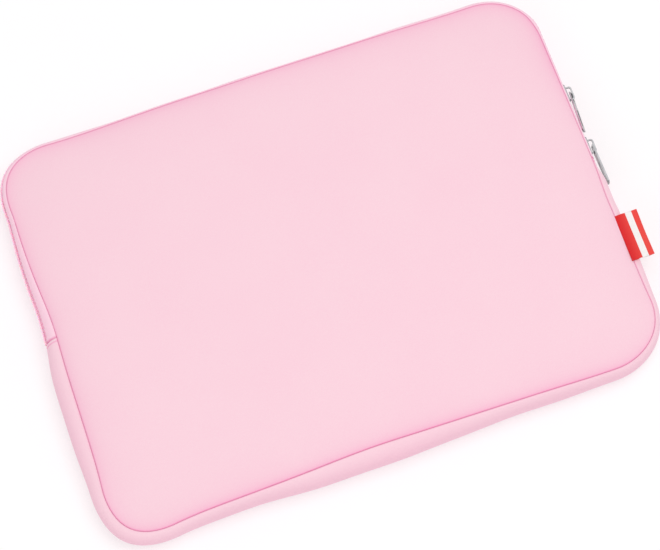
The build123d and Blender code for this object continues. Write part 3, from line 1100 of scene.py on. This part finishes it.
def build_cords():
    """The cord that each half of the coil is wound round and sewn down with."""
    stations = zip_stations(1.2)[1:-1]
    turn = np.linspace(0, 2 * np.pi, 10, endpoint=False)

    def section(side):
        def make(x, y, s):
            plump = 1 + 0.06 * np.sin(s * 2 * np.pi / COIL_PITCH / 3)[:, None]
            out = (bulge(x, y, s) + coil_proud(x, y) - TAPE_DEPTH)[:, None] + 0.84 + 0.36 * plump * np.cos(turn)
            apart = parted(y, x)[:, None]
            level = 1.4 + 0.3 * apart + (0.85 - 0.45 * apart) * np.sin(turn)
            return out, middle_z(x, y)[:, None] + side * level
        return make

    for label, side, fold in (("front", 1, True), ("back", -1, False)):
        vertices, faces = sweep(stations, section(side))
        make_piece(f"{label}_coil_cord", vertices, faces, CORD, "zip_coil", fold=fold)


def stitch(batch, start, end, outward):
    """One sewn stitch between two points, arched over the fabric with its ends sunk in."""
    start, end, outward = (np.asarray(v, float) for v in (start, end, outward))
    share = np.array([0, 0.12, 0.35, 0.65, 0.88, 1])
    lift = np.array([-0.28, 0.02, 0.1, 0.1, 0.02, -0.28])
    path = start + (end - start) * share[:, None] + outward * lift[:, None]
    across = np.cross(end - start, outward)
    batch.add(*tube(path, THREAD_RADIUS * np.array([0.6, 1, 1, 1, 1, 0.6]), across=across))


def on_band(s, angle, inset=0.0):
    """A point on the band's outer face and its outward direction there."""
    point, normal = rim(np.array([s]))
    x, y = point[:, 0], point[:, 1]
    front, back = front_seam_z(x, y)[0], back_seam_z(x, y)[0]
    full = bulge(x, y, np.array([s]))[0] - inset
    out = full * np.cos(angle)
    half = (front - back) / 2
    where = np.array([x[0] + normal[0, 0] * out, y[0] + normal[0, 1] * out,
                      (front + back) / 2 + np.sin(angle) * (half - inset)])
    away = np.array([normal[0, 0] * np.cos(angle), normal[0, 1] * np.cos(angle), np.sin(angle)])
    return where, away


def build_topstitching():
    """Topstitching along both zip strips and across both ends of the zip."""
    for label, side, fold in (("front", 1, True), ("back", -1, False)):
        batch = Batch()
        for s in np.arange(3.4, ZIP_LENGTH - 5.0, STITCH_PITCH):
            ends = []
            for place in (s, s + STITCH_LENGTH):
                point = rim(np.array([place]))[0]
                end = strip_angle(point[:, 0], point[:, 1], place)[0]
                angle = np.pi / 2 + (end - np.pi / 2) * 0.86
                ends.append(on_band(place, side * angle, 0.22))
            stitch(batch, ends[0][0], ends[1][0], ends[0][1])
        for s in (-HEM_WIDTH - 0.1, ZIP_LENGTH + HEM_WIDTH + 0.1):
            for k in range(4):
                first, away = on_band(s, side * np.radians(74 - 19 * k), HEM_GROOVE - 0.06)
                last, _ = on_band(s, side * np.radians(74 - 19 * k - 14), HEM_GROOVE - 0.06)
                stitch(batch, first, last, away)
        batch.piece(f"{label}_topstitch_thread", THREAD, "neoprene", fold=fold)


# ---------------------------------------------------------------- label

def label_section(reach):
    """Outline of the folded ribbon across its length: (outward, up) for its outer skin, then its inner one."""
    straight = np.linspace(-1.2, reach - LABEL_NOSE, 18)
    turn = np.radians([60, 30, 0, -30, -60])
    nose_out = reach - LABEL_NOSE + 0.85 * np.cos(turn)
    nose_up = LABEL_BEND * np.sin(turn) / np.sin(turn[0])
    out = np.concatenate([straight, nose_out, straight[::-1]])
    up = np.concatenate([np.full(18, LABEL_BEND), nose_up, np.full(18, -LABEL_BEND)])
    skin = np.stack([out, up], axis=-1)
    tangent = np.gradient(skin, axis=0)
    tangent /= np.linalg.norm(tangent, axis=1, keepdims=True)
    inward = np.stack([tangent[:, 1], -tangent[:, 0]], axis=-1)
    inner = skin + inward * RIBBON_THICKNESS
    return np.concatenate([skin, inner[::-1]])


def build_label():
    """Ribbon folded once, its two tails caught in the seam, slightly cupped."""
    low, high = box_mm("woven_label")
    reach = high[0] - low[0]
    middle_y = (low[1] + high[1]) / 2
    half_length = (high[1] - low[1]) / 2
    base_z = (low[2] + high[2]) / 2
    section = label_section(reach)
    out, up = section.T
    share = np.clip(out / reach, 0, 1)
    rows = []
    for a in np.concatenate([[-1.0, -0.994], np.linspace(-0.95, 0.95, 38), [0.994, 1.0]]):
        sag = -0.05 * reach * share**2
        cup = 0.5 * (a * 1.2 + 0.3) ** 2 * share**1.5
        wave = 0.18 * np.sin(a * 4.0 + out * 0.35) * share
        y = middle_y + a * half_length + 0.15 * np.sin(out * 0.5)
        rows.append(np.stack([low[0] + out, y, base_z + up + sag + cup + wave], axis=-1))
    piece = make_piece("label_ribbon_loop", np.concatenate(rows), loft_faces(len(rows), len(section)), RIBBON,
                       "label_ribbon", soft=False, hides=("woven_label",))
    striped = ((share > LABEL_STRIPE[0]) & (share < LABEL_STRIPE[1])).astype(np.float32)
    for name, values in (("stripe", striped), ("reach", share.astype(np.float32))):
        layer = piece.data.attributes.new(name, "FLOAT", "POINT")
        layer.data.foreach_set("value", np.tile(values, len(rows)))


# ---------------------------------------------------------------- sliders

def dress_sliders():
    """The cast slider bodies, crowns and pulls keep their CAD shapes and take the plated metal."""
    for label in ("upper", "lower"):
        for part in ("slider_body", "slider_crown", "pull_tab"):
            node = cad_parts[f"{label}_{part}"]
            node.data.materials.clear()
            node.data.materials.append(METAL)


# ---------------------------------------------------------------- floor, light and camera

# The floor is a pale panel lit softly from below, which keeps the shadows light.
FLOOR_FACE = srgb(196, 195, 195)
FLOOR_DEEP = srgb(190, 189, 190)
FLOOR_GLOW = 0.46


def build_stage():
    floor_mesh = bpy.data.meshes.new("floor")
    reach = 4.0
    floor_mesh.from_pydata([(-reach, -reach, 0), (reach, -reach, 0), (reach, reach, 0), (-reach, reach, 0)], [],
                           [(0, 1, 2, 3)])
    floor = bpy.data.objects.new("floor", floor_mesh)
    bpy.context.scene.collection.objects.link(floor)
    look = Look("pale_floor", roughness=0.9)
    mottle = look.spread(look.noise(160.0), 0.3, 0.7, 0.0, 0.3)
    look.colour(look.mix(mottle, FLOOR_FACE, FLOOR_DEEP))
    look.shader.inputs["Emission Color"].default_value = (1.0, 0.995, 0.995, 1.0)
    look.shader.inputs["Emission Strength"].default_value = FLOOR_GLOW
    floor_mesh.materials.append(look.material)
    floor.location.z = -0.0004

    world = bpy.data.worlds.new("studio")
    world.use_nodes = True
    plain = world.node_tree.nodes["Background"]
    plain.inputs["Color"].default_value = (1.0, 0.985, 0.99, 1.0)
    plain.inputs["Strength"].default_value = 0.66
    bpy.context.scene.world = world

    def softbox(name, place, target, size, watts):
        light = bpy.data.lights.new(name, "AREA")
        light.shape = "SQUARE"
        light.size = size
        light.energy = watts
        lamp = bpy.data.objects.new(name, light)
        lamp.location = place
        lamp.visible_glossy = False
        lamp.rotation_euler = (Vector(target) - Vector(place)).to_track_quat("-Z", "Y").to_euler()
        bpy.context.scene.collection.objects.link(lamp)

    softbox("key_softbox", (0.35, -0.15, 1.9), (0, 0, 0), 1.3, 14.2)
    softbox("fill_softbox", (-1.3, -1.0, 1.3), (0, 0, 0), 1.2, 3.5)
    bpy.context.scene.view_settings.view_transform = "Standard"


def build_camera():
    """The camera stands in front of the near left corner and looks down at the front panel."""
    camera_data = bpy.data.cameras.new("camera")
    camera_data.sensor_width = 36.0
    camera_data.lens = 144.5
    camera = bpy.data.objects.new("camera", camera_data)
    forward = Vector((0.0990, 0.3166, -0.9434)).normalized()
    up = Vector((0.3171, 0.8886, 0.3315))
    right = forward.cross(up).normalized()
    up = right.cross(forward)
    place = Vector((-155.58, -500.31, 1459.28)) * (HALF_X / 167.0) + Vector((0, 0, CORNER_SEAM_Z))
    turn = Matrix((right, up, -forward)).transposed().to_4x4()
    camera.matrix_world = Matrix.Translation(place * MM) @ turn
    bpy.context.scene.collection.objects.link(camera)
    bpy.context.scene.camera = camera


SETTLED = settle_front_cloth()
build_front_panel()
build_back_panel()
build_linings()
build_bindings()
build_gusset()
build_strips()
build_tapes()
build_coils()
build_cords()
build_topstitching()
build_label()
dress_sliders()
build_stage()
build_camera()

bpy.context.view_layer.update()
